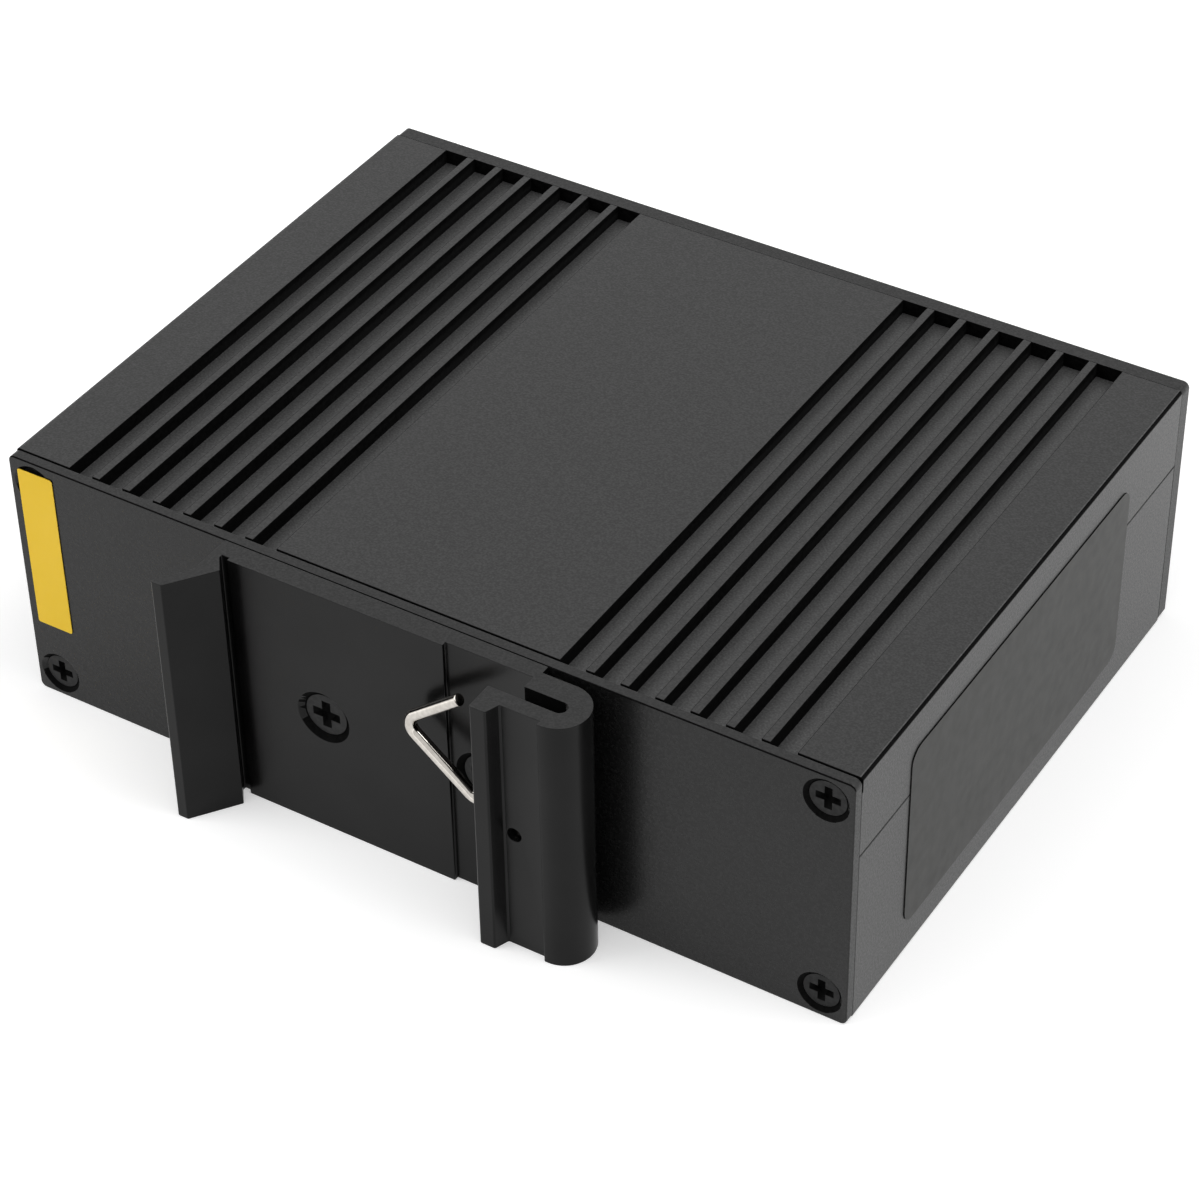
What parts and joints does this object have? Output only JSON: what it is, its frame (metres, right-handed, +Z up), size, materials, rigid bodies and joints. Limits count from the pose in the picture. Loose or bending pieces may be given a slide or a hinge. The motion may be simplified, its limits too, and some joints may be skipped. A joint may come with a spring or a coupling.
{
  "type": "poe splitter",
  "caption": "Slim black metal box with a ribbed broad face, a rear bracket for a 35 mm equipment rail, and front jacks and a terminal that part power from a network cable.",
  "frame": {"origin": "middle of the case's underside, halfway between the outer faces of its end plates", "axes": "+X along the case's long edge towards the slide slot, +Y from the rail bracket to the ports, +Z up"},
  "size_m": [0.095, 0.0897, 0.03],
  "materials": {
    "shell_black": "fine-grained matte black, blasted and anodised",
    "plate_black": "smooth satin black",
    "bracket_black": "satin black anodised extrusion",
    "screw_black": "black zinc on steel",
    "plated_steel": "bright zinc plated steel",
    "spring_nickel": "nickel plated spring wire",
    "board_green": "glass fibre board with green solder mask",
    "shield_steel": "tinned sheet steel",
    "jack_plastic": "moulded black plastic",
    "contact_gold": "gold plated spring contacts",
    "terminal_green": "moulded green plastic",
    "light_green": "tinted clear plastic",
    "chip_black": "moulded black epoxy",
    "ferrite_grey": "sintered ferrite",
    "tape_yellow": "polyester tape over copper",
    "can_aluminium": "sleeved aluminium can"
  },
  "bodies": {
    "root": {"top_shell": "shell_black", "bottom_shell": "shell_black", "rear_plate": "plate_black", "front_plate": "plate_black", "rear_plate_screws": "screw_black", "front_plate_screws": "screw_black", "rail_bracket": "bracket_black", "bracket_screws": "screw_black", "bracket_nuts": "plated_steel", "spring_wire": "spring_nickel", "circuit_board": "board_green", "input_jack_shield": "shield_steel", "input_jack_insert": "jack_plastic", "input_jack_contacts": "contact_gold", "output_jack_shield": "shield_steel", "output_jack_insert": "jack_plastic", "output_jack_contacts": "contact_gold", "terminal_header": "terminal_green", "terminal_pins": "plated_steel", "terminal_plug": "terminal_green", "terminal_clamps": "plated_steel", "terminal_screws": "plated_steel", "ground_screw": "plated_steel", "ground_washer": "plated_steel", "ground_nut": "plated_steel", "status_lights": "light_green", "light_holders": "chip_black", "lan_transformer": "chip_black", "transformer_base": "chip_black", "transformer_core": "ferrite_grey", "transformer_winding": "tape_yellow", "input_capacitor": "can_aluminium", "output_capacitors": "chip_black", "bridge_rectifiers": "chip_black", "controller_chip": "chip_black", "switch_transistor": "chip_black", "output_diode": "chip_black", "power_inductor": "ferrite_grey"}
  },
  "joints": []
}
